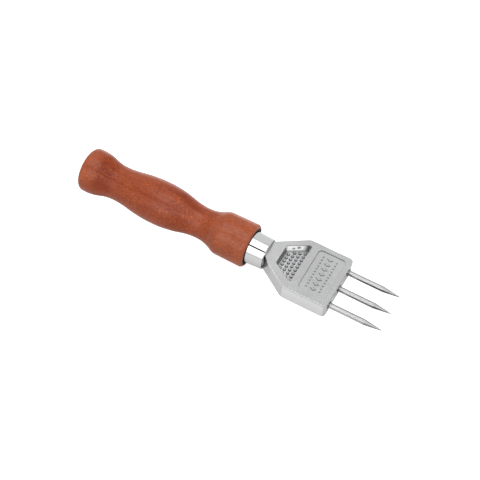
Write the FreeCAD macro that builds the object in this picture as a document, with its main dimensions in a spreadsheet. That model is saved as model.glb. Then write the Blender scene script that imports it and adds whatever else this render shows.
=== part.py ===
import FreeCAD, Part
import math
import os
import Sketcher

# Three-spike ice pick: turned wooden handle, polished round neck collar,
# flared flat cast head with a stippled thumb recess, three round steel spikes.
# Frame: X runs along the tool axis towards the spike tips, +Z is out of the
# head's front face, Y is across the head. The origin is where the centre spike
# leaves the middle of the head's end face. Millimetres.

doc = FreeCAD.newDocument("ice_pick")
sheet = doc.addObject("Spreadsheet::Sheet", "dims")

VALUES = [
    # handle: stations along X and the radius there
    ("butt_end", 147.9), ("butt_dome", 0.5), ("butt_flat_rad", 8.8), ("butt_round", 3.25),
    ("butt_max_x", 143.1), ("butt_max_rad", 12.03), ("butt_arc", 22.5),
    ("waist_a_x", 127.9), ("waist_a_rad", 9.41), ("waist_a_arc", 48.4),
    ("belly_x", 103.6), ("belly_rad", 11.73), ("belly_arc", 62.0),
    ("waist_b_x", 78.2), ("waist_b_rad", 8.37), ("waist_b_arc", 19.5),
    ("shoulder_x", 65.4), ("shoulder_rad", 11.72),
    ("front_rad", 11.90), ("front_round", 1.8), ("handle_face", 49.7),
    ("seat_rad", 9.15), ("seat_depth", 2.0), ("pilot_rad", 4.5), ("pilot_depth", 18.0),
    ("tip_bore_rad", 2.6), ("tip_bore_depth", 4.0),
    # neck collar
    ("collar_front", 40.2), ("collar_rear_rad", 8.75), ("collar_front_rad", 8.25),
    ("collar_edge", 0.45), ("collar_bore_rad", 5.5), ("collar_rear_edge", 0.4),
    # head
    ("head_thick", 9.4), ("root_half", 5.9), ("flare_x", 24.5), ("head_half", 16.55),
    ("flare_round", 4.5), ("corner_round", 2.0), ("face_round", 0.4),
    ("spigot_rad", 5.5), ("stud_hole_rad", 2.5), ("stud_hole_depth", 10.0),
    ("cut_root", 4.2), ("cut_x", 36.4), ("cut_half", 8.5), ("cut_draft", 7.4),
    # thumb recess
    ("recess_back", 33.6), ("recess_front", 22.0), ("recess_back_half", 5.95),
    ("recess_front_half", 13.2), ("recess_shift", 0.7), ("recess_depth", 4.3), ("recess_draft", 8.0),
    ("recess_corner", 1.1),
    ("pip_rad", 0.88), ("pip_high", 0.7), ("pip_pitch", 2.31), ("pip_step", 2.46),
    ("pip_front_x", 23.95), ("pip_shift", 0.41),
    # panel and its ornament
    ("panel_back", 18.0), ("panel_front", 2.6), ("panel_half", 13.2),
    ("panel_depth", 0.5), ("panel_corner", 2.2), ("panel_shift", 0.4),
    ("lozenge_long", 1.95), ("lozenge_wide", 1.15), ("lozenge_high", 0.45),
    ("lozenge_draft", 42.0), ("lozenge_pitch", 3.3), ("lozenge_x", 10.6),
    ("bead_rad", 0.52), ("bead_high", 0.4), ("bead_pitch", 1.98), ("bead_row", 3.7),
    # spikes
    ("spike_rad", 1.45), ("spike_pitch", 11.2), ("spike_out", 28.8),
    ("spike_point", 9.4), ("spike_tip_rad", 0.25), ("spike_shank_rad", 1.2),
    ("spike_shank", 12.0), ("mouth_rad", 2.3), ("mouth_depth", 0.8),
    # stud and insert
    ("stud_rad", 2.5), ("stud_front", 41.8), ("stud_rear", 68.0), ("stud_chamfer", 0.5),
    ("insert_rad", 4.5), ("insert_bore_rad", 2.5), ("insert_long", 17.0),
]
for row, (alias, value) in enumerate(VALUES, 1):
    sheet.set("A%d" % row, alias)
    sheet.set("B%d" % row, str(value))
    sheet.setAlias("B%d" % row, alias)
doc.recompute()
D = dict((alias, float(sheet.get(alias))) for alias, _ in VALUES)

V = FreeCAD.Vector
BODIES = []


def body_named(name):
    b = doc.addObject("PartDesign::Body", name)
    b.Label = name
    BODIES.append(b)
    return b


def plane(body, role):
    for f in body.Origin.OriginFeatures:
        if f.Role == role:
            return f
    raise RuntimeError(role)


def new_sketch(body, name, role="XY_Plane", offset=None):
    s = body.newObject("Sketcher::SketchObject", name)
    s.AttachmentSupport = [(plane(body, role), "")]
    s.MapMode = "FlatFace"
    if offset:
        s.setExpression(".AttachmentOffset.Base.z", offset)
        doc.recompute()
    return s


def line(s, p, q):
    return s.addGeometry(Part.LineSegment(V(p[0], p[1], 0), V(q[0], q[1], 0)), False)


def arc(s, centre, radius, p, q):
    # The short arc from p to q about centre, whichever way round it runs.
    a = math.atan2(p[1] - centre[1], p[0] - centre[0])
    b = math.atan2(q[1] - centre[1], q[0] - centre[0])
    d = (b - a) % (2 * math.pi)
    circle = Part.Circle(V(centre[0], centre[1], 0), V(0, 0, 1), radius)
    if d <= math.pi:
        return s.addGeometry(Part.ArcOfCircle(circle, a, a + d), False), 1, 2
    return s.addGeometry(Part.ArcOfCircle(circle, b, b + 2 * math.pi - d), False), 2, 1


def fix_point(s, geo, pos, x_expr=None, y_expr=None, x=None, y=None):
    # Ties a point to the sketch origin with signed distances from the sheet.
    if x_expr is not None:
        if x_expr == "0":
            s.addConstraint(Sketcher.Constraint("PointOnObject", geo, pos, -2))
        else:
            i = s.addConstraint(Sketcher.Constraint("DistanceX", -1, 1, geo, pos, x))
            s.setExpression("Constraints[%d]" % i, x_expr)
    if y_expr is not None:
        if y_expr == "0":
            s.addConstraint(Sketcher.Constraint("PointOnObject", geo, pos, -1))
        else:
            i = s.addConstraint(Sketcher.Constraint("DistanceY", -1, 1, geo, pos, y))
            s.setExpression("Constraints[%d]" % i, y_expr)


def polygon(s, points):
    """points: (x, y, x_expression, y_expression). A closed outline of lines."""
    n = len(points)
    ids = [line(s, points[i][:2], points[(i + 1) % n][:2]) for i in range(n)]
    for i in range(n):
        s.addConstraint(Sketcher.Constraint("Coincident", ids[i], 2, ids[(i + 1) % n], 1))
    for i, (x, y, ex, ey) in enumerate(points):
        fix_point(s, ids[i], 1, ex, ey, x, y)
    return ids


def revolve(body, sketch, name="turned"):
    r = body.newObject("PartDesign::Revolution", name)
    r.Profile = sketch
    r.ReferenceAxis = (sketch, ["H_Axis"])
    r.Angle = 360
    doc.recompute()
    return r


def turned(name, points):
    """A turned piece: closed outline in the XY plane, above the X axis."""
    b = body_named(name)
    s = new_sketch(b, name + "_profile")
    polygon(s, points)
    doc.recompute()
    revolve(b, s, name + "_turned")
    return b


def pad(body, sketch, name, length_expr, reverse=False, mid=False, taper=None):
    p = body.newObject("PartDesign::Pad", name)
    p.Profile = sketch
    p.setExpression("Length", length_expr)
    if mid:
        p.SideType = "Symmetric"
    p.Reversed = reverse
    if taper:
        p.setExpression("TaperAngle", taper)
    doc.recompute()
    return p


def pocket(body, sketch, name, length_expr, reverse=False, taper=None, mid=False):
    before = body.Shape.Volume
    p = body.newObject("PartDesign::Pocket", name)
    p.Profile = sketch
    p.setExpression("Length", length_expr)
    if mid:
        p.SideType = "Symmetric"
    p.Reversed = reverse
    if taper:
        p.setExpression("TaperAngle", taper)
    doc.recompute()
    if not body.Shape.Volume < before - 1e-3:
        raise RuntimeError(name + " cuts nothing")
    return p


def row_along_y(body, name, original, count, pitch_expr):
    lp = body.newObject("PartDesign::LinearPattern", name)
    lp.Originals = [original]
    lp.Direction = (plane(body, "Y_Axis"), [""])
    lp.setExpression("Length", "%d * %s" % (count - 1, pitch_expr))
    lp.Occurrences = count
    body.Tip = lp
    doc.recompute()
    return lp


def dome_row(body, name, x_expr, y_expr, floor_expr, rad_expr, high_expr, count, pitch_expr):
    """A row of low round domes on a level floor. Each is the top of a sphere sunk into the floor."""
    before = body.Shape.Volume
    b = body.newObject("PartDesign::AdditiveSphere", name)
    b.AttachmentSupport = [(plane(body, "XY_Plane"), "")]
    b.MapMode = "FlatFace"
    big = "(%s ^ 2 + %s ^ 2) / (2 * %s)" % (rad_expr, high_expr, high_expr)
    b.setExpression("Radius", big)
    b.setExpression(".AttachmentOffset.Base.x", x_expr)
    b.setExpression(".AttachmentOffset.Base.y", y_expr)
    b.setExpression(".AttachmentOffset.Base.z", "%s + %s - %s" % (floor_expr, high_expr, big))
    doc.recompute()
    lp = row_along_y(body, name + "_row", b, count, pitch_expr)
    if not body.Shape.Volume > before + 1e-3:
        raise RuntimeError(name + " adds nothing")
    return lp


def edges_where(shape, test):
    names = []
    for i, e in enumerate(shape.Edges, 1):
        if test(e):
            names.append("Edge%d" % i)
    return names


# ---------------------------------------------------------------- handle
# Five tangent-arc waves from the butt to the shoulder, then a nearly straight
# collar. The end has a seat for the neck collar, then a stepped bore.
handle = body_named("handle")
hs = new_sketch(handle, "handle_profile")


def s_curve(x0, r0, x1, r1, first):
    """Two tangent arcs between two level stations; first is the arc radius at x0."""
    dx, dr = x1 - x0, r1 - r0
    total = (dx * dx + dr * dr) / (2 * abs(dr))
    second = total - first
    sign = 1 if dr > 0 else -1
    c0 = (x0, r0 + sign * first)
    c1 = (x1, r1 - sign * second)
    k = first / total
    j = (c0[0] + (c1[0] - c0[0]) * k, c0[1] + (c1[1] - c0[1]) * k)
    return c0, first, c1, second, j


stations = [
    ("butt_max_x", "butt_max_rad", "butt_arc"),
    ("waist_a_x", "waist_a_rad", "waist_a_arc"),
    ("belly_x", "belly_rad", "belly_arc"),
    ("waist_b_x", "waist_b_rad", "waist_b_arc"),
    ("shoulder_x", "shoulder_rad", None),
]
chain = []
for (ax, ar, aa), (bx, br, _) in zip(stations[:-1], stations[1:]):
    x0, r0, x1, r1 = -D[ax], D[ar], -D[bx], D[br]
    c0, f0, c1, f1, j = s_curve(x0, r0, x1, r1, D[aa])
    g0, s0, e0 = arc(hs, c0, f0, (x0, r0), j)
    g1, s1, e1 = arc(hs, c1, f1, j, (x1, r1))
    fix_point(hs, g0, s0, "-dims." + ax, "dims." + ar, x0, r0)
    hs.addConstraint(Sketcher.Constraint("Vertical", g0, s0, g0, 3))
    hs.addConstraint(Sketcher.Constraint("Tangent", g0, e0, g1, s1))
    hs.addConstraint(Sketcher.Constraint("Vertical", g1, e1, g1, 3))
    i = hs.addConstraint(Sketcher.Constraint("Radius", g0, f0))
    hs.setExpression("Constraints[%d]" % i, "dims." + aa)
    fix_point(hs, g1, e1, "-dims." + bx, "dims." + br, x1, r1)
    chain.append((g0, s0, g1, e1))
# straight collar and its rounded front edge
fr, fx, ro = D["front_rad"], -D["handle_face"], D["front_round"]
g_col = line(hs, (-D["shoulder_x"], D["shoulder_rad"]), (fx - ro, fr))
hs.addConstraint(Sketcher.Constraint("Coincident", chain[-1][2], chain[-1][3], g_col, 1))
fix_point(hs, g_col, 2, "-dims.handle_face - dims.front_round", "dims.front_rad", fx - ro, fr)
g_fr, a_s, a_e = arc(hs, (fx - ro, fr - ro), ro, (fx - ro, fr), (fx, fr - ro))
hs.addConstraint(Sketcher.Constraint("Coincident", g_col, 2, g_fr, a_s))
fix_point(hs, g_fr, a_e, "-dims.handle_face", "dims.front_rad - dims.front_round", fx, fr - ro)
i = hs.addConstraint(Sketcher.Constraint("Radius", g_fr, ro))
hs.setExpression("Constraints[%d]" % i, "dims.front_round")
# front face, seat, pilot bore and tip bore, down to the axis
inner = [
    (fx, fr - ro, None, None),
    (fx, D["seat_rad"], "-dims.handle_face", "dims.seat_rad"),
    (fx - D["seat_depth"], D["seat_rad"], "-dims.handle_face - dims.seat_depth", "dims.seat_rad"),
    (fx - D["seat_depth"], D["pilot_rad"], "-dims.handle_face - dims.seat_depth", "dims.pilot_rad"),
    (fx - D["seat_depth"] - D["pilot_depth"], D["pilot_rad"],
     "-dims.handle_face - dims.seat_depth - dims.pilot_depth", "dims.pilot_rad"),
    (fx - D["seat_depth"] - D["pilot_depth"], D["tip_bore_rad"],
     "-dims.handle_face - dims.seat_depth - dims.pilot_depth", "dims.tip_bore_rad"),
    (fx - D["seat_depth"] - D["pilot_depth"] - D["tip_bore_depth"], D["tip_bore_rad"],
     "-dims.handle_face - dims.seat_depth - dims.pilot_depth - dims.tip_bore_depth", "dims.tip_bore_rad"),
    (fx - D["seat_depth"] - D["pilot_depth"] - D["tip_bore_depth"], 0,
     "-dims.handle_face - dims.seat_depth - dims.pilot_depth - dims.tip_bore_depth", "0"),
]
prev, prev_pos = g_fr, a_e
for p, q in zip(inner[:-1], inner[1:]):
    g = line(hs, p[:2], q[:2])
    hs.addConstraint(Sketcher.Constraint("Coincident", prev, prev_pos, g, 1))
    fix_point(hs, g, 2, q[2], q[3], q[0], q[1])
    prev, prev_pos = g, 2
# along the axis to the butt, then the gently domed end and its round
bx = -D["butt_end"]
g_ax = line(hs, inner[-1][:2], (bx - D["butt_dome"], 0))
hs.addConstraint(Sketcher.Constraint("Coincident", prev, prev_pos, g_ax, 1))
fix_point(hs, g_ax, 2, "-dims.butt_end - dims.butt_dome", "0", bx - D["butt_dome"], 0)
fr2 = D["butt_flat_rad"]
dome_r = (fr2 ** 2 + D["butt_dome"] ** 2) / (2 * D["butt_dome"])
g_dome, d_s, d_e = arc(hs, (bx - D["butt_dome"] + dome_r, 0), dome_r, (bx - D["butt_dome"], 0), (bx, fr2))
hs.addConstraint(Sketcher.Constraint("Coincident", g_ax, 2, g_dome, d_s))
fix_point(hs, g_dome, d_e, "-dims.butt_end", "dims.butt_flat_rad", bx, fr2)
hs.addConstraint(Sketcher.Constraint("PointOnObject", g_dome, 3, -1))
rr = D["butt_round"]
g_br, b_s, b_e = arc(hs, (bx + rr, D["butt_max_rad"] - rr), rr, (bx, D["butt_max_rad"] - rr), (bx + rr, D["butt_max_rad"]))
g_bl = line(hs, (bx, fr2), (bx, D["butt_max_rad"] - rr)) if abs(fr2 - (D["butt_max_rad"] - rr)) > 0.02 else None
if g_bl is None:
    hs.addConstraint(Sketcher.Constraint("Coincident", g_dome, d_e, g_br, b_s))
else:
    # The small step between the dome's rim and the round's start is a flat ring.
    hs.addConstraint(Sketcher.Constraint("Coincident", g_dome, d_e, g_bl, 1))
    hs.addConstraint(Sketcher.Constraint("Coincident", g_bl, 2, g_br, b_s))
    hs.addConstraint(Sketcher.Constraint("Vertical", g_bl))
i = hs.addConstraint(Sketcher.Constraint("Radius", g_br, rr))
hs.setExpression("Constraints[%d]" % i, "dims.butt_round")
fix_point(hs, g_br, b_e, "-dims.butt_end + dims.butt_round", "dims.butt_max_rad", bx + rr, D["butt_max_rad"])
g_top = line(hs, (bx + rr, D["butt_max_rad"]), (-D["butt_max_x"], D["butt_max_rad"]))
hs.addConstraint(Sketcher.Constraint("Coincident", g_br, b_e, g_top, 1))
hs.addConstraint(Sketcher.Constraint("Coincident", g_top, 2, chain[0][0], chain[0][1]))
doc.recompute()
revolve(handle, hs, "handle_turned")

# ---------------------------------------------------------------- neck collar
cf, hf, sd = D["collar_front"], D["handle_face"], D["seat_depth"]
ce, cr = D["collar_edge"], D["collar_rear_edge"]
neck_collar = body_named("neck_collar")
cs = new_sketch(neck_collar, "neck_collar_profile")
polygon(cs, [
    (-hf - sd, D["collar_bore_rad"], "-dims.handle_face - dims.seat_depth", "dims.collar_bore_rad"),
    (-cf, D["collar_bore_rad"], "-dims.collar_front", "dims.collar_bore_rad"),
    (-cf, D["collar_front_rad"], "-dims.collar_front", "dims.collar_front_rad"),
    (-hf - sd, D["collar_rear_rad"], "-dims.handle_face - dims.seat_depth", "dims.collar_rear_rad"),
])
doc.recompute()
revolve(neck_collar, cs, "neck_collar_turned")
tip = neck_collar.Tip
rim = edges_where(tip.Shape, lambda e: e.Curve.TypeId == "Part::GeomCircle"
                  and abs(e.Curve.Radius - D["collar_front_rad"]) < 0.01)
rear = edges_where(tip.Shape, lambda e: e.Curve.TypeId == "Part::GeomCircle"
                   and abs(e.Curve.Radius - D["collar_rear_rad"]) < 0.01)
f = neck_collar.newObject("PartDesign::Fillet", "neck_collar_front_round")
f.Base = (tip, rim)
f.setExpression("Radius", "dims.collar_edge")
doc.recompute()
rear = edges_where(f.Shape, lambda e: e.Curve.TypeId == "Part::GeomCircle"
                   and abs(e.Curve.Radius - D["collar_rear_rad"]) < 0.01)
c = neck_collar.newObject("PartDesign::Chamfer", "neck_collar_rear_chamfer")
c.Base = (f, rear)
c.setExpression("Size", "dims.collar_rear_edge")
doc.recompute()

# ---------------------------------------------------------------- head
head = body_named("head")
sk = new_sketch(head, "head_outline")
hh, rh, fxx, T = D["head_half"], D["root_half"], D["flare_x"], D["head_thick"]
polygon(sk, [
    (-cf, -rh, "-dims.collar_front", "-dims.root_half"),
    (-fxx, -hh, "-dims.flare_x", "-dims.head_half"),
    (0, -hh, "0", "-dims.head_half"),
    (0, hh, "0", "dims.head_half"),
    (-fxx, hh, "-dims.flare_x", "dims.head_half"),
    (-cf, rh, "-dims.collar_front", "dims.root_half"),
])
doc.recompute()
pad(head, sk, "head_slab", "dims.head_thick", mid=True)


def upright(e):
    a, b = e.Vertexes[0].Point, e.Vertexes[-1].Point
    return len(e.Vertexes) == 2 and abs(a.x - b.x) < 1e-6 and abs(a.y - b.y) < 1e-6


tip = head.Tip
f = head.newObject("PartDesign::Fillet", "head_flare_round")
f.Base = (tip, edges_where(tip.Shape, lambda e: upright(e) and abs(e.Vertexes[0].Point.x + fxx) < 1e-3))
f.setExpression("Radius", "dims.flare_round")
doc.recompute()
tip = head.Tip
f = head.newObject("PartDesign::Fillet", "head_corner_round")
f.Base = (tip, edges_where(tip.Shape, lambda e: upright(e) and abs(e.Vertexes[0].Point.x) < 1e-3))
f.setExpression("Radius", "dims.corner_round")
doc.recompute()
# all round the two faces, but not along the root where the collar sits
tip = head.Tip


def face_edge(e):
    z = [v.Point.z for v in e.Vertexes]
    level = all(abs(abs(q) - T / 2) < 1e-6 for q in z) and abs(max(z) - min(z)) < 1e-6
    m = e.valueAt((e.FirstParameter + e.LastParameter) / 2)
    return level and abs(m.x + cf) > 1e-3


f = head.newObject("PartDesign::Fillet", "head_face_round")
f.Base = (tip, edges_where(tip.Shape, face_edge))
f.setExpression("Radius", "dims.face_round")
doc.recompute()

# spigot that passes through the collar
sp = new_sketch(head, "spigot_circle", "YZ_Plane", "-dims.collar_front")
i = sp.addGeometry(Part.Circle(V(0, 0, 0), V(0, 0, 1), D["spigot_rad"]), False)
sp.addConstraint(Sketcher.Constraint("Coincident", i, 3, -1, 1))
j = sp.addConstraint(Sketcher.Constraint("Radius", i, D["spigot_rad"]))
sp.setExpression("Constraints[%d]" % j, "dims.spigot_rad")
doc.recompute()
before = head.Shape.Volume
p = pad(head, sp, "spigot", "dims.handle_face + dims.seat_depth - dims.collar_front", reverse=True)
if head.Shape.BoundBox.XMin > -hf - sd + 0.01:
    raise RuntimeError("the spigot points the wrong way")

# hole for the stud, up the spigot from its rear end
st = new_sketch(head, "stud_hole_circle", "YZ_Plane", "-dims.handle_face - dims.seat_depth")
i = st.addGeometry(Part.Circle(V(0, 0, 0), V(0, 0, 1), D["stud_hole_rad"]), False)
st.addConstraint(Sketcher.Constraint("Coincident", i, 3, -1, 1))
j = st.addConstraint(Sketcher.Constraint("Radius", i, D["stud_hole_rad"]))
st.setExpression("Constraints[%d]" % j, "dims.stud_hole_rad")
doc.recompute()
pocket(head, st, "stud_hole", "dims.stud_hole_depth", reverse=True)

# three blind spike holes with a shallow wider mouth
for tag, rad, depth in (("spike_mouths", "mouth_rad", "dims.mouth_depth"),
                        ("spike_holes", "spike_shank_rad", "dims.mouth_depth + dims.spike_shank")):
    s = new_sketch(head, tag + "_circles", "YZ_Plane")
    for k in (-1, 0, 1):
        i = s.addGeometry(Part.Circle(V(k * D["spike_pitch"], 0, 0), V(0, 0, 1), D[rad]), False)
        if k:
            j = s.addConstraint(Sketcher.Constraint("DistanceX", -1, 1, i, 3, k * D["spike_pitch"]))
            s.setExpression("Constraints[%d]" % j, ("" if k > 0 else "-") + "dims.spike_pitch")
            s.addConstraint(Sketcher.Constraint("PointOnObject", i, 3, -1))
        else:
            s.addConstraint(Sketcher.Constraint("Coincident", i, 3, -1, 1))
        j = s.addConstraint(Sketcher.Constraint("Radius", i, D[rad]))
        s.setExpression("Constraints[%d]" % j, "dims." + rad)
    doc.recompute()
    pocket(head, s, tag, depth)

# thumb recess with drafted walls, wider towards the spikes
rb, rf, rs = D["recess_back"], D["recess_front"], D["recess_shift"]
s = new_sketch(head, "recess_outline", "XY_Plane", "dims.head_thick / 2")
polygon(s, [
    (-rb, rs - D["recess_back_half"], "-dims.recess_back", "dims.recess_shift - dims.recess_back_half"),
    (-rf, rs - D["recess_front_half"], "-dims.recess_front", "dims.recess_shift - dims.recess_front_half"),
    (-rf, rs + D["recess_front_half"], "-dims.recess_front", "dims.recess_shift + dims.recess_front_half"),
    (-rb, rs + D["recess_back_half"], "-dims.recess_back", "dims.recess_shift + dims.recess_back_half"),
])
doc.recompute()
pocket(head, s, "thumb_recess", "dims.recess_depth", taper="-dims.recess_draft")
floor_z = T / 2 - D["recess_depth"]
if not any(abs(fc.BoundBox.ZMax - floor_z) < 1e-4 and fc.BoundBox.ZLength < 1e-4 for fc in head.Shape.Faces):
    raise RuntimeError("the recess has no floor")
tip = head.Tip


def recess_front_corner(e):
    if len(e.Vertexes) != 2:
        return False
    p, q = sorted((v.Point for v in e.Vertexes), key=lambda v: v.z)
    return abs(p.z - floor_z) < 1e-4 and abs(q.z - T / 2) < 1e-4 and abs(q.x + rf) < 1e-3


f = head.newObject("PartDesign::Fillet", "recess_corner_round")
f.Base = (tip, edges_where(tip.Shape, recess_front_corner))
f.setExpression("Radius", "dims.recess_corner")
doc.recompute()

# staggered columns of domed pips on the recess floor
for col, count in enumerate((9, 8, 7, 5)):
    dome_row(head, "pips_%d" % col,
             "-dims.pip_front_x - %d * dims.pip_step" % col,
             "dims.pip_shift - %g * dims.pip_pitch" % ((count - 1) / 2),
             "dims.head_thick / 2 - dims.recess_depth", "dims.pip_rad", "dims.pip_high",
             count, "dims.pip_pitch")

# shallow panel with rounded corners towards the spikes
ps = D["panel_shift"]
s = new_sketch(head, "panel_outline", "XY_Plane", "dims.head_thick / 2")
polygon(s, [
    (-D["panel_back"], ps - D["panel_half"], "-dims.panel_back", "dims.panel_shift - dims.panel_half"),
    (-D["panel_front"], ps - D["panel_half"], "-dims.panel_front", "dims.panel_shift - dims.panel_half"),
    (-D["panel_front"], ps + D["panel_half"], "-dims.panel_front", "dims.panel_shift + dims.panel_half"),
    (-D["panel_back"], ps + D["panel_half"], "-dims.panel_back", "dims.panel_shift + dims.panel_half"),
])
doc.recompute()
pocket(head, s, "panel", "dims.panel_depth")
tip = head.Tip
f = head.newObject("PartDesign::Fillet", "panel_round")
f.Base = (tip, edges_where(tip.Shape, lambda e: upright(e) and abs(e.Length - D["panel_depth"]) < 1e-4))
f.setExpression("Radius", "dims.panel_corner")
doc.recompute()

# plain ornament: a row of raised lozenges across the panel, between two rows of beads
s = new_sketch(head, "lozenge_outline", "XY_Plane", "dims.head_thick / 2 - dims.panel_depth")
lx, ly = -D["lozenge_x"], ps - 3 * D["lozenge_pitch"]
a, b = D["lozenge_long"], D["lozenge_wide"]
ey = "dims.panel_shift - 3 * dims.lozenge_pitch"
polygon(s, [
    (lx - a, ly, "-dims.lozenge_x - dims.lozenge_long", ey),
    (lx, ly - b, "-dims.lozenge_x", ey + " - dims.lozenge_wide"),
    (lx + a, ly, "-dims.lozenge_x + dims.lozenge_long", ey),
    (lx, ly + b, "-dims.lozenge_x", ey + " + dims.lozenge_wide"),
])
doc.recompute()
p = pad(head, s, "lozenge", "dims.lozenge_high", taper="-dims.lozenge_draft")
row_along_y(head, "lozenge_row", p, 7, "dims.lozenge_pitch")
for tag, sign in (("rear", "-"), ("front", "+")):
    dome_row(head, "beads_" + tag,
             "-dims.lozenge_x %s dims.bead_row" % sign,
             "dims.panel_shift - 5 * dims.bead_pitch",
             "dims.head_thick / 2 - dims.panel_depth", "dims.bead_rad", "dims.bead_high",
             11, "dims.bead_pitch")

# one drafted flat where the flare meets the round neck, at the right front corner
for side in (-1,):
    for face in (1,):
        name = "root_cut_%s_%s" % ("left" if side > 0 else "right", "front" if face > 0 else "back")
        s = new_sketch(head, name + "_outline", "XY_Plane",
                       "dims.head_thick / 2" if face > 0 else "-dims.head_thick / 2")
        sg = "" if side > 0 else "-"
        polygon(s, [
            (-cf, side * D["cut_root"], "-dims.collar_front", sg + "dims.cut_root"),
            (-D["cut_x"], side * D["cut_half"], "-dims.cut_x", sg + "dims.cut_half"),
            (-D["cut_x"], side * (D["cut_half"] + 4), "-dims.cut_x", sg + "(dims.cut_half + 4)"),
            (-cf, side * (D["cut_half"] + 4), "-dims.collar_front", sg + "(dims.cut_half + 4)"),
        ])
        doc.recompute()
        pocket(head, s, name, "dims.head_thick - 0.2", reverse=(face < 0), taper="-dims.cut_draft")

# ---------------------------------------------------------------- spikes
so, spt = D["spike_out"], D["spike_point"]
spikes = []
for name, k in (("spike_left", 1), ("spike_centre", 0), ("spike_right", -1)):
    b = body_named(name)
    s = new_sketch(b, name + "_profile")
    polygon(s, [
        (-D["mouth_depth"] - D["spike_shank"], 0, "-dims.mouth_depth - dims.spike_shank", "0"),
        (so, 0, "dims.spike_out", "0"),
        (so - 0.12, D["spike_tip_rad"], "dims.spike_out - 0.12", "dims.spike_tip_rad"),
        (so - spt, D["spike_rad"], "dims.spike_out - dims.spike_point", "dims.spike_rad"),
        (-D["mouth_depth"], D["spike_rad"], "-dims.mouth_depth", "dims.spike_rad"),
        (-D["mouth_depth"], D["spike_shank_rad"], "-dims.mouth_depth", "dims.spike_shank_rad"),
        (-D["mouth_depth"] - D["spike_shank"], D["spike_shank_rad"],
         "-dims.mouth_depth - dims.spike_shank", "dims.spike_shank_rad"),
    ])
    doc.recompute()
    revolve(b, s, name + "_turned")
    b.setExpression(".Placement.Base.y", "%d * dims.spike_pitch" % k)
    spikes.append(b)

# ---------------------------------------------------------------- stud and insert
ch = D["stud_chamfer"]
turned("tang_stud", [
    (-D["stud_rear"], 0, "-dims.stud_rear", "0"),
    (-D["stud_front"], 0, "-dims.stud_front", "0"),
    (-D["stud_front"], D["stud_rad"] - ch, "-dims.stud_front", "dims.stud_rad - dims.stud_chamfer"),
    (-D["stud_front"] - ch, D["stud_rad"], "-dims.stud_front - dims.stud_chamfer", "dims.stud_rad"),
    (-D["stud_rear"] + ch, D["stud_rad"], "-dims.stud_rear + dims.stud_chamfer", "dims.stud_rad"),
    (-D["stud_rear"], D["stud_rad"] - ch, "-dims.stud_rear", "dims.stud_rad - dims.stud_chamfer"),
])
il = D["insert_long"]
turned("handle_insert", [
    (-hf - sd - il, D["insert_bore_rad"], "-dims.handle_face - dims.seat_depth - dims.insert_long", "dims.insert_bore_rad"),
    (-hf - sd, D["insert_bore_rad"], "-dims.handle_face - dims.seat_depth", "dims.insert_bore_rad"),
    (-hf - sd, D["insert_rad"], "-dims.handle_face - dims.seat_depth", "dims.insert_rad"),
    (-hf - sd - il, D["insert_rad"], "-dims.handle_face - dims.seat_depth - dims.insert_long", "dims.insert_rad"),
])

doc.recompute()
for o in doc.Objects:
    if "Invalid" in o.State or "Error" in o.State:
        raise RuntimeError("%s failed: %s" % (o.Name, o.State))
os.makedirs("parts", exist_ok=True)
for b in BODIES:
    shape = b.Shape
    if shape.isNull() or not shape.isValid() or shape.Volume <= 0 or len(shape.Solids) != 1:
        raise RuntimeError("%s has a bad shape" % b.Label)
    shape.exportStep("parts/%s.step" % b.Label)
    bb = shape.BoundBox
    print("%-14s volume %9.1f mm3  x %7.2f..%7.2f  y %6.2f..%6.2f  z %6.2f..%6.2f" % (
        b.Label, shape.Volume, bb.XMin, bb.XMax, bb.YMin, bb.YMax, bb.ZMin, bb.ZMax))
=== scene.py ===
import math
import bpy
import bmesh
from mathutils import Matrix, Vector

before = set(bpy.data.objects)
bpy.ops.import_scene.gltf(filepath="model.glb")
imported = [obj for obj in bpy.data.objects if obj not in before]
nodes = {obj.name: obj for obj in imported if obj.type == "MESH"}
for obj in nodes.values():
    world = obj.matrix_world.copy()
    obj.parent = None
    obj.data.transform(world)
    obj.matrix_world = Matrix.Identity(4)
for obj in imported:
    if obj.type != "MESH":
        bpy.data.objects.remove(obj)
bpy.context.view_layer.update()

# ================================================================ camera
RIGHT = Vector((0.880343, 0.468361, 0.075065))
UP = Vector((-0.424345, 0.706916, 0.565863))
BACK = Vector((0.211963, -0.530007, 0.821075))
AIM = Vector((-0.0496, 0.0, 0.0))
DIST = 0.639162
cam_data = bpy.data.cameras.new("photo_camera")
cam = bpy.data.objects.new("photo_camera", cam_data)
bpy.context.scene.collection.objects.link(cam)
m = Matrix.Identity(4)
for i, v in enumerate((RIGHT, UP, BACK)):
    m[0][i], m[1][i], m[2][i] = v.x, v.y, v.z
place = AIM + BACK * DIST
m[0][3], m[1][3], m[2][3] = place.x, place.y, place.z
cam.matrix_world = m
cam_data.sensor_width = 36.0
cam_data.sensor_fit = "HORIZONTAL"
cam_data.lens = 1.959731 * DIST * 1000.0 / 480.0 * 36.0
cam_data.shift_x = -(252.034 - 240.0) / 480.0
cam_data.shift_y = (246.802 - 240.0) / 480.0
cam_data.clip_start = 0.01
cam_data.clip_end = 10.0
bpy.context.scene.camera = cam
bpy.context.scene.view_settings.view_transform = "Standard"
bpy.context.scene.view_settings.look = "None"


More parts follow.
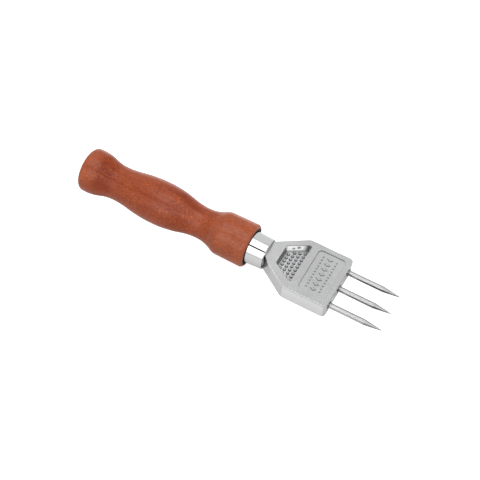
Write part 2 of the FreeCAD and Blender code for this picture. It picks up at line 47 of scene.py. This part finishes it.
# ================================================================ node helpers
class Net:
    """A short way to write a material's nodes. Positions are in metres in the object's own frame."""

    def __init__(self, name):
        self.mat = bpy.data.materials.new(name)
        self.mat.use_nodes = True
        self.t = self.mat.node_tree
        self.t.nodes.clear()
        self.out = self.t.nodes.new("ShaderNodeOutputMaterial")
        self.bsdf = self.t.nodes.new("ShaderNodeBsdfPrincipled")
        self.t.links.new(self.bsdf.outputs[0], self.out.inputs[0])
        self.co = self.t.nodes.new("ShaderNodeTexCoord").outputs["Object"]

    def link(self, a, b):
        self.t.links.new(a, b)

    def put(self, socket, v):
        if isinstance(v, (int, float)):
            socket.default_value = v
        elif isinstance(v, (tuple, list)):
            socket.default_value = v
        else:
            self.link(v, socket)

    def mapping(self, scale=(1, 1, 1), loc=(0, 0, 0), rot=(0, 0, 0), vec=None):
        n = self.t.nodes.new("ShaderNodeMapping")
        self.link(vec or self.co, n.inputs["Vector"])
        n.inputs["Scale"].default_value = scale
        n.inputs["Location"].default_value = loc
        n.inputs["Rotation"].default_value = rot
        return n.outputs[0]

    def noise(self, vec, scale=1.0, detail=2.0, rough=0.5, dist=0.0):
        n = self.t.nodes.new("ShaderNodeTexNoise")
        self.link(vec, n.inputs["Vector"])
        n.inputs["Scale"].default_value = scale
        n.inputs["Detail"].default_value = detail
        n.inputs["Roughness"].default_value = rough
        n.inputs["Distortion"].default_value = dist
        return n.outputs["Fac"]

    def voronoi(self, vec, scale=1.0, feature="F1", rand=1.0):
        n = self.t.nodes.new("ShaderNodeTexVoronoi")
        n.feature = feature
        self.link(vec, n.inputs["Vector"])
        n.inputs["Scale"].default_value = scale
        n.inputs["Randomness"].default_value = rand
        return n

    def math(self, op, a, b=0.0, clamp=False, c=0.0):
        n = self.t.nodes.new("ShaderNodeMath")
        n.operation = op
        n.use_clamp = clamp
        self.put(n.inputs[0], a)
        self.put(n.inputs[1], b)
        if op in ("MULTIPLY_ADD",):
            self.put(n.inputs[2], c)
        return n.outputs[0]

    def sep(self, vec=None):
        n = self.t.nodes.new("ShaderNodeSeparateXYZ")
        self.link(vec or self.co, n.inputs[0])
        return n.outputs

    def comb(self, x, y, z):
        n = self.t.nodes.new("ShaderNodeCombineXYZ")
        for s, v in zip(n.inputs, (x, y, z)):
            self.put(s, v)
        return n.outputs[0]

    def ramp(self, fac, stops, interp="LINEAR"):
        n = self.t.nodes.new("ShaderNodeValToRGB")
        n.color_ramp.interpolation = interp
        e = n.color_ramp.elements
        while len(e) < len(stops):
            e.new(0.5)
        for el, (p, c) in zip(e, stops):
            el.position = p
            if isinstance(c, (int, float)):
                c = (c, c, c)
            el.color = (c[0], c[1], c[2], 1.0)
        self.put(n.inputs[0], fac)
        return n.outputs[0]

    def range(self, v, a, b, lo=0.0, hi=1.0, smooth=False):
        n = self.t.nodes.new("ShaderNodeMapRange")
        n.clamp = True
        if smooth:
            n.interpolation_type = "SMOOTHSTEP"
        self.put(n.inputs["Value"], v)
        for k, x in (("From Min", a), ("From Max", b), ("To Min", lo), ("To Max", hi)):
            n.inputs[k].default_value = x
        return n.outputs[0]

    def mix(self, fac, a, b, mode="MIX"):
        n = self.t.nodes.new("ShaderNodeMix")
        n.data_type = "RGBA"
        n.blend_type = mode
        self.put(n.inputs[0], fac)
        self.put(n.inputs[6], a if not isinstance(a, tuple) else (*a, 1.0)[:4])
        self.put(n.inputs[7], b if not isinstance(b, tuple) else (*b, 1.0)[:4])
        return n.outputs[2]

    def bump(self, height, depth, strength=1.0, normal=None):
        n = self.t.nodes.new("ShaderNodeBump")
        n.inputs["Strength"].default_value = strength
        n.inputs["Distance"].default_value = depth
        self.link(height, n.inputs["Height"])
        if normal is not None:
            self.link(normal, n.inputs["Normal"])
        return n.outputs[0]

    def set(self, **kw):
        for k, v in kw.items():
            self.put(self.bsdf.inputs[k.replace("_", " ")], v)


# ================================================================ floor
lowest_handle = Vector((-0.0515, 0.0, -0.0119))
lowest_head = Vector((0.0, 0.0, -0.0047))
along = (lowest_head - lowest_handle).normalized()
floor_up = Vector((-along.z, 0.0, along.x))


def floor_plane(name, lift, albedo, glow):
    """A wide plane under the tool. glow is a little light of its own, as a lit white table has from below."""
    me = bpy.data.meshes.new(name)
    bm = bmesh.new()
    bmesh.ops.create_grid(bm, x_segments=2, y_segments=2, size=1.5)
    bm.to_mesh(me)
    bm.free()
    o = bpy.data.objects.new(name, me)
    bpy.context.scene.collection.objects.link(o)
    o.matrix_world = Matrix.Translation(lowest_handle - floor_up * (0.0002 - lift)) @ floor_up.to_track_quat("Z", "Y").to_matrix().to_4x4()
    k = Net(name + "_white")
    k.set(Base_Color=(albedo, albedo, albedo, 1), Roughness=0.95)
    k.bsdf.inputs["Specular IOR Level"].default_value = 0.1
    k.bsdf.inputs["Emission Color"].default_value = (1, 1, 1, 1)
    k.bsdf.inputs["Emission Strength"].default_value = glow
    o.data.materials.append(k.mat)
    return o


# the floor that is seen, and the slightly darker one that lights the tool from below and shows in the metal
floor = floor_plane("floor", 0.0, 0.62, 0.75)
floor.visible_glossy = False
floor.visible_diffuse = False
floor.visible_shadow = False
mirror_floor = floor_plane("floor_in_metal", -0.00005, 0.54, 0.24)
mirror_floor.visible_camera = False
mirror_floor.visible_shadow = False


# ================================================================ light
def panel(name, angle, centre_x, dist, width, length, radiance):
    """A rectangular soft light. angle is measured from straight up, about the tool's axis, positive towards +Y."""
    a = math.radians(angle)
    d = Vector((0.0, math.sin(a), math.cos(a)))
    l = bpy.data.lights.new(name, "AREA")
    l.shape = "RECTANGLE"
    l.size, l.size_y = length, width
    l.energy = radiance * math.pi * width * length
    o = bpy.data.objects.new(name, l)
    bpy.context.scene.collection.objects.link(o)
    z = d
    x = Vector((1, 0, 0))
    y = z.cross(x)
    mm = Matrix.Identity(4)
    for i, v in enumerate((x, y, z)):
        mm[0][i], mm[1][i], mm[2][i] = v.x, v.y, v.z
    p = Vector((centre_x, 0, 0)) + d * dist
    mm[0][3], mm[1][3], mm[2][3] = p.x, p.y, p.z
    o.matrix_world = mm
    return o


panel("light_above", -1.25, 0.175, 1.0, 0.90, 1.25, 1.95)
# the front light is dimmed for the wood by a scrim, but its face stays as bright in the metal
front_face = panel("light_front_face", -56.0, 0.175, 1.0, 0.81, 1.25, 2.0)
front_face.visible_diffuse = False
front_fill = panel("light_front_fill", -56.0, 0.175, 1.0, 0.81, 1.25, 1.15)
front_fill.visible_glossy = False
# the lacquer shows both lights more strongly than the dull metal does; these two reach the handle only
handle_only = bpy.data.collections.new("handle_only")
handle_only.objects.link(nodes["handle"])
for o in (panel("gloss_above", -1.25, 0.175, 1.0, 0.90, 1.25, 2.3), panel("gloss_front", -56.0, 0.175, 1.0, 0.81, 1.25, 1.2)):
    o.visible_diffuse = False
    o.light_linking.receiver_collection = handle_only
# the flat head sees a dimmer front light than the round pieces do, so that its face doesn't wash out from behind
head_only = bpy.data.collections.new("head_only")
all_but_head = bpy.data.collections.new("all_but_head")
for name, ob in nodes.items():
    (head_only if name == "head" else all_but_head).objects.link(ob)
front_face.light_linking.receiver_collection = all_but_head
front_head = panel("light_front_head", -56.0, 0.175, 1.0, 0.81, 1.25, 1.55)
front_head.visible_diffuse = False
front_head.light_linking.receiver_collection = head_only
# a low strip behind the handle gives its far rim the pale line that a bright table gives
gloss_low = panel("gloss_low", 180.0, -0.118, 0.0122, 0.10, 0.130, 1.1)
gloss_low.matrix_world.translation.y = 0.095
gloss_low.visible_diffuse = False
gloss_low.light_linking.receiver_collection = handle_only
world = bpy.data.worlds.new("studio")
bpy.context.scene.world = world
world.use_nodes = True
bg = world.node_tree.nodes["Background"]
bg.inputs[0].default_value = (1, 1, 1, 1)
bg.inputs[1].default_value = 1.06


def flag(name, angle, dist, width, length, centre_x, glow=0.0):
    """A thin card beside the lights, black or faintly lit. Only the polished metal sees it."""
    a = math.radians(angle)
    d = Vector((0.0, math.sin(a), math.cos(a)))
    me = bpy.data.meshes.new(name)
    bm = bmesh.new()
    x = Vector((1, 0, 0))
    y = d.cross(x)
    c = Vector((centre_x, 0, 0)) + d * dist
    vs = [bm.verts.new(c + x * (sx * length / 2) + y * (sy * width / 2)) for sx, sy in ((-1, -1), (1, -1), (1, 1), (-1, 1))]
    bm.faces.new(vs)
    bm.to_mesh(me)
    bm.free()
    o = bpy.data.objects.new(name, me)
    bpy.context.scene.collection.objects.link(o)
    k = Net(name + "_black")
    k.set(Base_Color=(0.01, 0.01, 0.01, 1), Roughness=1.0)
    k.bsdf.inputs["Emission Color"].default_value = (1, 1, 1, 1)
    k.bsdf.inputs["Emission Strength"].default_value = glow
    o.data.materials.append(k.mat)
    o.visible_camera = False
    o.visible_shadow = False
    o.visible_diffuse = False
    return o


flag("flag_camera", -29.0, 0.8, 0.150, 1.2, -0.25)
flag("card_recess", -1.25, 0.90, 0.86, 0.60, 0.46, 0.95)
flag("flag_edge", 24.3, 0.95, 0.05, 1.2, -0.25)
# straight above the head the big light is veiled, so that the flat face keeps its tone from there
flag("veil_top", 0.0, 0.93, 0.30, 0.26, 0.00, 1.0)


def low_card(name, pts, tone):
    """A small dark card close to the spikes, seen only in their polish."""
    me = bpy.data.meshes.new(name)
    bm = bmesh.new()
    bm.faces.new([bm.verts.new(v) for v in pts])
    bm.to_mesh(me)
    bm.free()
    o = bpy.data.objects.new(name, me)
    bpy.context.scene.collection.objects.link(o)
    k = Net(name + "_black")
    k.set(Base_Color=(tone, tone, tone, 1), Roughness=1.0)
    o.data.materials.append(k.mat)
    o.visible_camera = False
    o.visible_shadow = False
    o.visible_diffuse = False


def on_floor(x, y):
    """The point of the floor under (x, y), a hair above it."""
    z = lowest_handle.z - (floor_up.x * (x - lowest_handle.x) + 0.0002) / floor_up.z + 0.00012
    return (x, y, z)


# the first two cards are painted shadow: dark sheets on the floor under and beside the spikes, standing in for the
# floor's shade there, seen only in the polish
low_card("painted_shadow_under", [on_floor(*q) for q in ((0.0045, -0.008), (0.034, -0.008), (0.034, 0.018), (0.0045, 0.018))], 0.14)
low_card("painted_shadow_point", [on_floor(*q) for q in ((0.0185, -0.0150), (0.034, -0.0150), (0.034, -0.0081), (0.0185, -0.0081))], 0.05)
low_card("card_front", [(-0.03, -0.5, -0.02), (0.35, -0.5, -0.02), (0.35, -0.5, 0.36), (-0.03, -0.5, 0.36)], 0.02)

# ================================================================ wood
w = Net("lacquered_wood")
# growth rings: cylinders about a line beside the handle, bent a little along the length
s = w.sep()
wob = w.noise(w.mapping((14, 60, 60)), 1.0, 3.0, 0.55)
wob2 = w.noise(w.mapping((30, 180, 180), loc=(3.1, 0, 0)), 1.0, 2.0, 0.5)
yy = w.math("ADD", s[1], 0.024)
zz = w.math("ADD", s[2], 0.031)
rr = w.math("SQRT", w.math("ADD", w.math("MULTIPLY", yy, yy), w.math("MULTIPLY", zz, zz)))
rr = w.math("ADD", rr, w.math("MULTIPLY", w.math("SUBTRACT", wob, 0.5), 0.0075))
rr = w.math("ADD", rr, w.math("MULTIPLY", w.math("SUBTRACT", wob2, 0.5), 0.0012))
rr = w.math("ADD", rr, w.math("MULTIPLY", s[0], 0.035))
ring = w.math("FRACT", w.math("MULTIPLY", rr, 1 / 0.0023))
ring = w.ramp(ring, [(0.0, 0.25), (0.55, 0.55), (0.86, 1.0), (1.0, 0.25)])
fibre = w.noise(w.mapping((90, 2600, 2600)), 1.0, 3.0, 0.6)
streak = w.noise(w.mapping((22, 620, 620), loc=(0.7, 0.2, 0.4)), 1.0, 3.0, 0.6)
mott = w.noise(w.mapping((42, 95, 95), loc=(1.3, 0.4, 2.0)), 1.0, 2.0, 0.5)
# pores: short dark dashes along the grain
pore_n = w.noise(w.mapping((420, 5200, 5200), loc=(0.2, 0.9, 0.1)), 1.0, 1.0, 0.5)
pore_m = w.noise(w.mapping((60, 420, 420), loc=(4.2, 0.9, 0.1)), 1.0, 1.0, 0.5)
pore = w.range(w.math("ADD", pore_n, w.math("MULTIPLY", pore_m, 0.22)), 0.735, 0.80)
fleck = w.noise(w.mapping((760, 2100, 2100), loc=(0.6, 0.3, 0.8)), 1.0, 2.0, 0.6)
fleck_m = w.noise(w.mapping((55, 130, 130), loc=(2.6, 1.3, 0.2)), 1.0, 2.0, 0.5)
light_fleck = w.math("MULTIPLY", w.range(fleck, 0.52, 0.66), w.range(fleck_m, 0.38, 0.60))
dark_fleck = w.math("MULTIPLY", w.range(fleck, 0.48, 0.34), w.range(fleck_m, 0.62, 0.42))
base = w.mix(streak, (0.200, 0.029, 0.0062), (0.300, 0.055, 0.0135))
base = w.mix(w.math("MULTIPLY", ring, 0.32), base, (0.150, 0.021, 0.0046))
base = w.mix(w.range(mott, 0.35, 0.7, 0.0, 0.5), base, (0.335, 0.069, 0.0190))
base = w.mix(w.range(fibre, 0.35, 0.75, 0.0, 0.45), base, (0.140, 0.019, 0.0045))
# broad tones along the length: the thick end by the collar is painted paler, partly paler wood and partly a painted
# highlight of the lacquer's sheen there; a brown patch crosses the waist near the butt
pale = w.noise(w.mapping((90, 110, 110), loc=(5.0, 0.5, 0.1)), 1.0, 2.0, 0.55)
pale_end_and_sheen = w.math("MULTIPLY", w.range(s[0], -0.0718, -0.0706), w.range(pale, 0.30, 0.62, 0.25, 1.0))
pale_butt = w.math("MULTIPLY", w.range(s[0], -0.1395, -0.1450, 0.0, 1.0, True), w.range(pale, 0.30, 0.65, 0.25, 1.0))
base = w.mix(w.math("MULTIPLY", w.math("MAXIMUM", pale_end_and_sheen, pale_butt), 0.34), base, (0.37, 0.115, 0.052))
patch = w.noise(w.mapping((75, 75, 75), loc=(2.0, 0.5, 0.1)), 1.0, 2.0, 0.5)
patch = w.range(patch, 0.30, 0.62, 0.45, 1.0)
waist = w.math("MULTIPLY", w.range(s[0], -0.1405, -0.1360, 0.0, 1.0, True), w.range(s[0], -0.1270, -0.1320, 0.0, 1.0, True))
belly = w.math("MULTIPLY", w.range(s[0], -0.0990, -0.0910, 0.0, 0.55, True), w.range(s[0], -0.0790, -0.0850, 0.0, 1.0, True))
brown = w.math("MULTIPLY", w.math("MAXIMUM", waist, belly), patch)
base = w.mix(w.math("MULTIPLY", brown, 0.72), base, (0.145, 0.0170, 0.0030))
base = w.mix(w.math("MULTIPLY", light_fleck, 0.58), base, (0.46, 0.120, 0.034))
base = w.mix(w.math("MULTIPLY", dark_fleck, 0.50), base, (0.095, 0.0135, 0.0040))
base = w.mix(w.math("MULTIPLY", pore, 0.70), base, (0.055, 0.010, 0.0045))
# the sawn end round the neck is painted near black: painted shade, which the polished neck also shows as a dark ring
rad = w.math("SQRT", w.math("ADD", w.math("MULTIPLY", s[1], s[1]), w.math("MULTIPLY", s[2], s[2])))
painted_end_shade = w.math("MULTIPLY", w.range(s[0], -0.0512, -0.0506), w.range(rad, 0.0105, 0.0101))
base = w.mix(painted_end_shade, base, (0.005, 0.0025, 0.002))
rough = w.range(fibre, 0.2, 0.8, 0.30, 0.42)
rough = w.math("ADD", rough, w.math("MULTIPLY", pore, 0.12))
hgt = w.math("SUBTRACT", w.math("MULTIPLY", fibre, 0.35), pore)
orange = w.noise(w.mapping((380, 380, 380)), 1.0, 1.0, 0.5)
nb = w.bump(orange, 0.00006, 0.35)
nb = w.bump(hgt, 0.00006, 0.5, nb)
w.set(Base_Color=base, Roughness=rough, Normal=nb)
w.bsdf.inputs["Specular IOR Level"].default_value = 0.02
w.put(w.bsdf.inputs["Coat Weight"], w.math("MULTIPLY", w.range(painted_end_shade, 0.0, 0.6, 0.42, 0.03), w.range(brown, 0.0, 1.0, 1.0, 0.45)))
w.bsdf.inputs["Coat Roughness"].default_value = 0.25
w.bsdf.inputs["Coat IOR"].default_value = 1.5
wood = w.mat

# ================================================================ metals
c = Net("polished_collar")
cs = c.sep()
lathe = c.noise(c.comb(c.math("MULTIPLY", cs[0], 9000.0), 0.0, 0.0), 1.0, 2.0, 0.5)
hair = c.noise(c.mapping((7000, 500, 500)), 1.0, 2.0, 0.5)
wave = c.noise(c.mapping((60, 90, 90)), 1.0, 1.0, 0.5)
nb = c.bump(wave, 0.00004, 0.15)
nb = c.bump(lathe, 0.000002, 0.25, nb)
ccol = c.mix(hair, (0.53, 0.533, 0.537), (0.57, 0.573, 0.577))
# its end face is painted bright at the rim, a painted highlight, and painted dark where the head meets it, painted
# shade along the joint
painted_joint_shade = c.math("MULTIPLY", c.range(cs[1], -0.0034, -0.0008), c.range(cs[2], 0.0072, 0.0065))
painted_end_face = c.mix(painted_joint_shade, (0.66, 0.66, 0.665), (0.10, 0.10, 0.104))
ccol = c.mix(c.range(cs[0], -0.04031, -0.04022), ccol, painted_end_face)
c.set(Base_Color=ccol, Roughness=c.range(hair, 0.3, 0.8, 0.02, 0.045), Metallic=1.0, Normal=nb)
collar_m = c.mat

h = Net("cast_head")
fine = h.noise(h.mapping((2600, 2600, 2600)), 1.0, 3.0, 0.6)
peel = h.noise(h.mapping((700, 700, 700), loc=(0.3, 0.1, 0.7)), 1.0, 2.0, 0.5)
cloud = h.noise(h.mapping((110, 110, 110), loc=(0.9, 0.1, 0.2)), 1.0, 3.0, 0.55)
scr = h.noise(h.mapping((240, 5200, 2600), rot=(0, 0, 0.5)), 1.0, 2.0, 0.6)
hs = h.sep()
# the recess is smooth; painted shade from ambient occlusion darkens the crevices where its walls meet its floor
in_recess = h.math("MULTIPLY", h.range(hs[2], 0.00455, 0.0042), h.math("MULTIPLY", h.range(hs[0], -0.0345, -0.0340), h.range(hs[0], -0.0212, -0.0217)))
ao = h.t.nodes.new("ShaderNodeAmbientOcclusion")
ao.samples = 12
ao.only_local = True
ao.inputs["Distance"].default_value = 0.0011
# ambient occlusion turned into painted shade in the crevices of the head
painted_crevice_shade = h.range(ao.outputs["AO"], 0.90, 0.45)
sharp = h.math("MAXIMUM", h.range(hs[0], -0.0163, -0.0169, 0.22, 1.0), h.range(hs[0], -0.0015, -0.0010))
painted_crevice_shade = h.math("MULTIPLY", h.math("MULTIPLY", painted_crevice_shade, sharp), h.range(hs[0], -0.0365, -0.0355, 0.25, 1.0))
# the painted shade is kept light at the foot of the recess's front wall
less_shade_front = h.math("MAXIMUM", h.range(hs[0], -0.0236, -0.0231, 1.0, 0.35), h.range(hs[0], -0.0215, -0.0210))
painted_crevice_shade = h.math("MULTIPLY", painted_crevice_shade, less_shade_front)
far_edge = h.math("MAXIMUM", h.range(hs[1], 0.0120, 0.0127, 1.0, 0.12), h.range(hs[0], -0.0195, -0.0205))
painted_crevice_shade = h.math("MULTIPLY", painted_crevice_shade, far_edge)
col = h.mix(cloud, (0.440, 0.442, 0.445), (0.500, 0.502, 0.505))
col = h.mix(h.range(hs[0], -0.034, -0.021, 0.0, 1.0, True), h.mix(cloud, (0.485, 0.487, 0.49), (0.545, 0.547, 0.55)), col)
col = h.mix(h.range(scr, 0.62, 0.8, 0.0, 0.3), col, (0.38, 0.38, 0.385))
# the slanting side walls of the recess are painted near white and barely metallic, a painted reflection of the
# light; its back wall and the foot of each pip get painted shade
flank = h.math("ADD", h.math("MULTIPLY", hs[0], -0.530), h.math("MULTIPLY", h.math("ABSOLUTE", h.math("SUBTRACT", hs[1], 0.0007)), 0.848))
in_recess = h.math("MULTIPLY", in_recess, h.range(flank, 0.02315, 0.02300))
flank = h.math("MULTIPLY", h.range(flank, 0.02205, 0.02222), in_recess)
col = h.mix(flank, col, (0.97, 0.97, 0.975))
back_wall = h.math("MULTIPLY", h.range(hs[0], -0.03285, -0.0331), in_recess)
foot = h.math("MULTIPLY", h.range(hs[2], 0.00046, 0.00060, 0.25, 1.0), h.range(hs[2], 0.00107, 0.00098))
foot = h.math("MULTIPLY", foot, h.range(hs[2], 0.00041, 0.00044))
foot = h.math("MULTIPLY", foot, in_recess)
# painted shade also lies on the floor close round each pip
painted_ring_shade = h.math("MULTIPLY", h.range(ao.outputs["AO"], 0.93, 0.74), h.range(hs[2], 0.00044, 0.00042))
painted_ring_shade = h.math("MULTIPLY", painted_ring_shade, h.math("MULTIPLY", in_recess, h.range(hs[0], -0.0229, -0.0232)))
# the sloping sides of the ornament's relief are painted dark, painted shade that outlines it
relief = h.math("MULTIPLY", h.range(hs[2], 0.00421, 0.00426), h.range(hs[2], 0.00462, 0.00440))
relief = h.math("MULTIPLY", relief, h.range(h.math("ABSOLUTE", hs[1]), 0.0132, 0.0130))
relief = h.math("MULTIPLY", relief, h.range(hs[0], -0.0160, -0.0158))
relief = h.math("MULTIPLY", relief, h.range(hs[0], -0.0050, -0.0052))
# the two long sides are painted brighter, a painted reflection of the bright floor, and the edges along them are
# painted darker and made rougher, painted shade that dims their highlight
away = h.math("ABSOLUTE", hs[1])
long_side = h.math("MULTIPLY", h.range(away, 0.01630, 0.01650), h.range(hs[2], 0.0044, 0.0041))
col = h.mix(long_side, col, (0.61, 0.612, 0.615))
edge = h.math("MULTIPLY", h.range(away, 0.01605, 0.01625), h.range(hs[2], 0.0042, 0.0044))
edge = h.math("MULTIPLY", edge, h.range(hs[0], -0.0260, -0.0245))
col = h.mix(edge, col, (0.43, 0.43, 0.434))
# all the painted shade and painted dark reflections of the head gather in this one mask, painted near black
painted_dark = h.math("MAXIMUM", h.math("MULTIPLY", painted_crevice_shade, 0.85), h.math("MULTIPLY", foot, 0.76))
painted_dark = h.math("MAXIMUM", painted_dark, h.math("MULTIPLY", relief, 0.92))
painted_dark = h.math("MAXIMUM", painted_dark, h.math("MULTIPLY", back_wall, 0.52))
painted_dark = h.math("MAXIMUM", painted_dark, h.math("MULTIPLY", painted_ring_shade, 0.42))
# the far end of each bright wall is painted dark and two dark spots are painted on it, painted reflections of the
# shaded front wall and of two pips
painted_reflection_marks = h.math("MULTIPLY", flank, h.range(hs[0], -0.0262, -0.0240, 0.0, 1.0))
for mx, mz, mr in ((-0.0301, 0.0024, 0.00045), (-0.0279, 0.0030, 0.00055)):
    dx = h.math("SUBTRACT", hs[0], mx)
    dz = h.math("SUBTRACT", hs[2], mz)
    dd = h.math("SQRT", h.math("ADD", h.math("MULTIPLY", dx, dx), h.math("MULTIPLY", dz, dz)))
    painted_reflection_marks = h.math("MAXIMUM", painted_reflection_marks, h.math("MULTIPLY", flank, h.range(dd, mr * 2.0, mr * 0.9, 0.0, 0.85)))
painted_dark = h.math("MAXIMUM", painted_dark, painted_reflection_marks)
# the slanting facet at the neck is painted dark with a speckle and made rougher, a painted dark reflection
slant = h.math("ADD", h.math("ADD", hs[1], 0.0042), h.math("MULTIPLY", h.math("ADD", hs[0], 0.0402), 1.1316))
slant = h.math("ADD", slant, h.math("MULTIPLY", h.math("SUBTRACT", 0.0047, hs[2]), 0.196))
facet = h.math("MULTIPLY", h.range(h.math("ABSOLUTE", slant), 0.00034, 0.00018), h.range(hs[0], -0.0353, -0.0362))
facet = h.math("MULTIPLY", facet, h.range(hs[2], 0.00466, 0.0044))
painted_dark = h.math("MAXIMUM", painted_dark, h.math("MULTIPLY", facet, h.range(fine, 0.35, 0.65, 0.45, 0.95)))
col = h.mix(painted_dark, col, (0.10, 0.10, 0.104))
rg = h.math("ADD", h.range(cloud, 0.3, 0.7, 0.15, 0.20), h.range(fine, 0.3, 0.8, 0.0, 0.05))
rg = h.math("ADD", rg, h.math("MULTIPLY", edge, 0.05))
rg = h.math("ADD", rg, h.math("MULTIPLY", in_recess, 0.11))
rg = h.math("SUBTRACT", rg, h.math("MULTIPLY", flank, 0.07))
rg = h.math("ADD", rg, h.math("MULTIPLY", painted_dark, 0.12))
rg = h.math("ADD", rg, h.math("MULTIPLY", facet, 0.25))
nb = h.bump(peel, 0.00010, 0.22)
nb = h.bump(fine, 0.00004, 0.25, nb)
h.set(Base_Color=col, Roughness=rg, Metallic=h.range(flank, 0.0, 1.0, 1.0, 0.08), Normal=nb)
head_m = h.mat

p = Net("ground_spike")
ps = p.sep()
grind = p.noise(p.mapping((9000, 300, 300)), 1.0, 2.0, 0.6)
long_ = p.noise(p.mapping((60, 6000, 6000)), 1.0, 2.0, 0.5)
at_point = p.range(ps[0], 0.0188, 0.0198)
g = p.mix(at_point, long_, grind)
nb = p.bump(g, 0.00001, 0.6)
p.set(Base_Color=p.mix(g, (0.308, 0.308, 0.313), (0.395, 0.395, 0.40)), Roughness=p.math("ADD", p.range(g, 0.3, 0.8, 0.27, 0.35), p.math("MULTIPLY", at_point, 0.03)), Metallic=1.0, Normal=nb)
spike_m = p.mat

st = Net("stud_steel")
sg = st.noise(st.mapping((2500, 400, 400)), 1.0, 2.0, 0.5)
st.set(Base_Color=st.mix(sg, (0.36, 0.36, 0.37), (0.5, 0.5, 0.51)), Roughness=st.range(sg, 0.3, 0.7, 0.3, 0.42), Metallic=1.0)
br = Net("insert_brass")
bg_ = br.noise(br.mapping((2500, 400, 400)), 1.0, 2.0, 0.5)
br.set(Base_Color=br.mix(bg_, (0.6, 0.42, 0.17), (0.78, 0.58, 0.28)), Roughness=br.range(bg_, 0.3, 0.7, 0.25, 0.38), Metallic=1.0)

FINISH = {
    "handle": wood, "neck_collar": collar_m, "head": head_m,
    "spike_left": spike_m, "spike_centre": spike_m, "spike_right": spike_m,
    "tang_stud": st.mat, "handle_insert": br.mat,
}
for name, ob in nodes.items():
    ob.data.materials.clear()
    ob.data.materials.append(FINISH[name])
